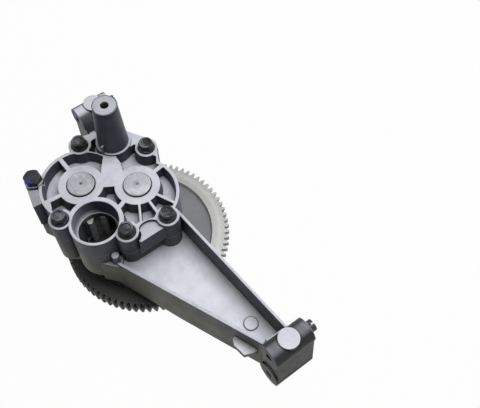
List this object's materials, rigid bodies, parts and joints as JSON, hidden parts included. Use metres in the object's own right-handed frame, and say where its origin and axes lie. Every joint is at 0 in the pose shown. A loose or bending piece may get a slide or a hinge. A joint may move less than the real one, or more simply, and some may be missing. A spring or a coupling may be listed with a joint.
{
  "type": "engine oil pump",
  "caption": "Aluminium engine oil pump with a large helical drive gear, ribbed cover and long mounting arm",
  "frame": {"origin": "drive shaft axis at the outer face of the drive gear", "axes": "+Z along the drive shaft from the gear to the cover, +X towards the end of the mounting arm, +Y along the mounting bolts towards the engine block"},
  "size_m": [0.404, 0.2091, 0.194],
  "materials": {
    "casting": "as cast, satin",
    "cover_casting": "as cast, satin, machined edges",
    "black_steel": "black phosphate",
    "ground_steel": "ground",
    "gear_iron": "machined rim, rough web",
    "rotor_steel": "machined, oiled",
    "bronze": "machined",
    "spring_steel": "oiled",
    "washer_aluminium": "plain"
  },
  "bodies": {
    "root": {"housing": "casting", "cover": "cover_casting", "cover_bolts": "black_steel", "cover_dowels": "ground_steel", "housing_drive_bush": "bronze", "housing_idler_bush": "bronze", "cover_drive_bush": "bronze", "cover_idler_bush": "bronze", "relief_spring": "spring_steel", "relief_spring_seat": "rotor_steel", "relief_plug_washer": "washer_aluminium", "relief_plug": "black_steel", "arm_dowel_sleeve": "spring_steel", "body_dowel_sleeve": "spring_steel"},
    "drive": {"drive_gear": "gear_iron", "drive_shaft": "ground_steel", "drive_rotor": "rotor_steel"},
    "idler": {"idler_shaft": "ground_steel", "idler_rotor": "rotor_steel"},
    "relief": {"relief_piston": "ground_steel"}
  },
  "joints": [
    {"name": "drive_turn", "type": "hinge", "parent": "root", "child": "drive", "pos_m": [0, 0, 0], "axis": [0, 0, 1], "continuous": true},
    {"name": "idler_turn", "type": "hinge", "parent": "root", "child": "idler", "pos_m": [-0.03809, -0.05018, 0], "axis": [0, 0, 1], "continuous": true},
    {"name": "relief_slide", "type": "slide", "parent": "root", "child": "relief", "axis": [0, 0, 1], "range_m": [0, 0.012], "stiffness_N_per_m": 900, "springref_m": -0.004, "deforming": ["relief_spring"]}
  ],
  "couplings": [
    {"joint": "idler_turn", "follows": "drive_turn", "ratio": -1}
  ]
}
